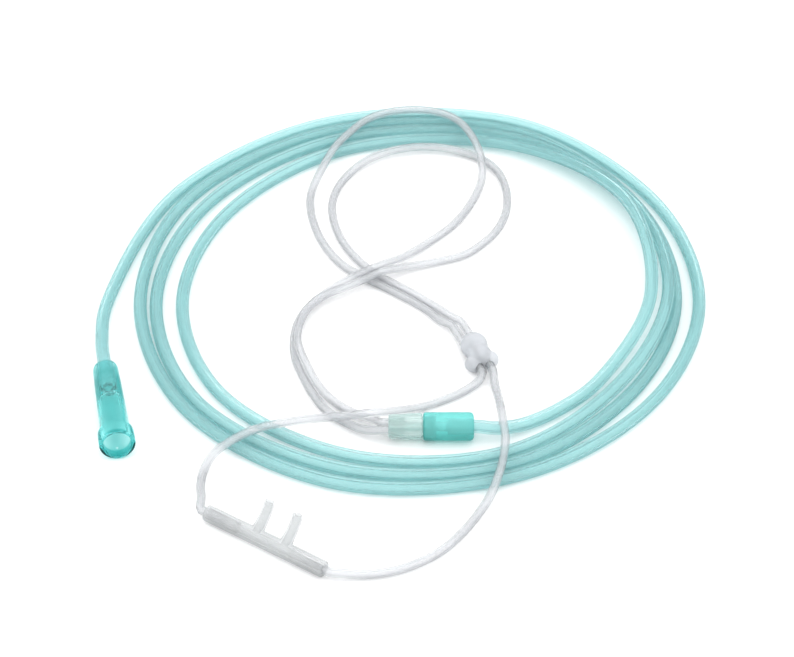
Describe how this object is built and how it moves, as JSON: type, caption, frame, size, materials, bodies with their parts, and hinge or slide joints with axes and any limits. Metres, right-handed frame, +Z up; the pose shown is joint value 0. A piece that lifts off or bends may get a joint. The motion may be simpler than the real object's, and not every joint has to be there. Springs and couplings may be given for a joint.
{
  "type": "nasal oxygen cannula",
  "caption": "Nasal oxygen cannula: coiled clear supply tube with a flared connector, a junction, looped face tubes with a slider bead, and a nasal piece with curved prongs.",
  "frame": {"origin": "on the floor that the set lies on, under the middle of the footprint of the nasal piece, slider and junction taken together", "axes": "+Z up from the floor; +X to the right along the junction, from the face tubes to the supply tube; +Y away from the nasal piece towards the far side of the coil"},
  "size_m": [0.2339, 0.2761, 0.0135],
  "materials": {
    "supply_tube": "clear pale aqua",
    "supply_connector": "clear teal",
    "junction_sleeve": "clear aqua green",
    "junction_collar": "clear, ribbed",
    "face_tube": "clear",
    "slider": "frosted",
    "nasal_piece": "milky translucent"
  },
  "bodies": {
    "tubing": {"supply_tube": "supply_tube", "supply_connector": "supply_connector", "junction_sleeve": "junction_sleeve", "junction_collar": "junction_collar", "face_tube_near": "face_tube", "face_tube_far": "face_tube", "nasal_piece": "nasal_piece"},
    "slider": {"slider": "slider"}
  },
  "joints": [
    {"name": "slider_slide", "type": "slide", "parent": "tubing", "child": "slider", "axis": [-0.3746, 0.9272, 0], "range_m": [0, 0.008]}
  ]
}
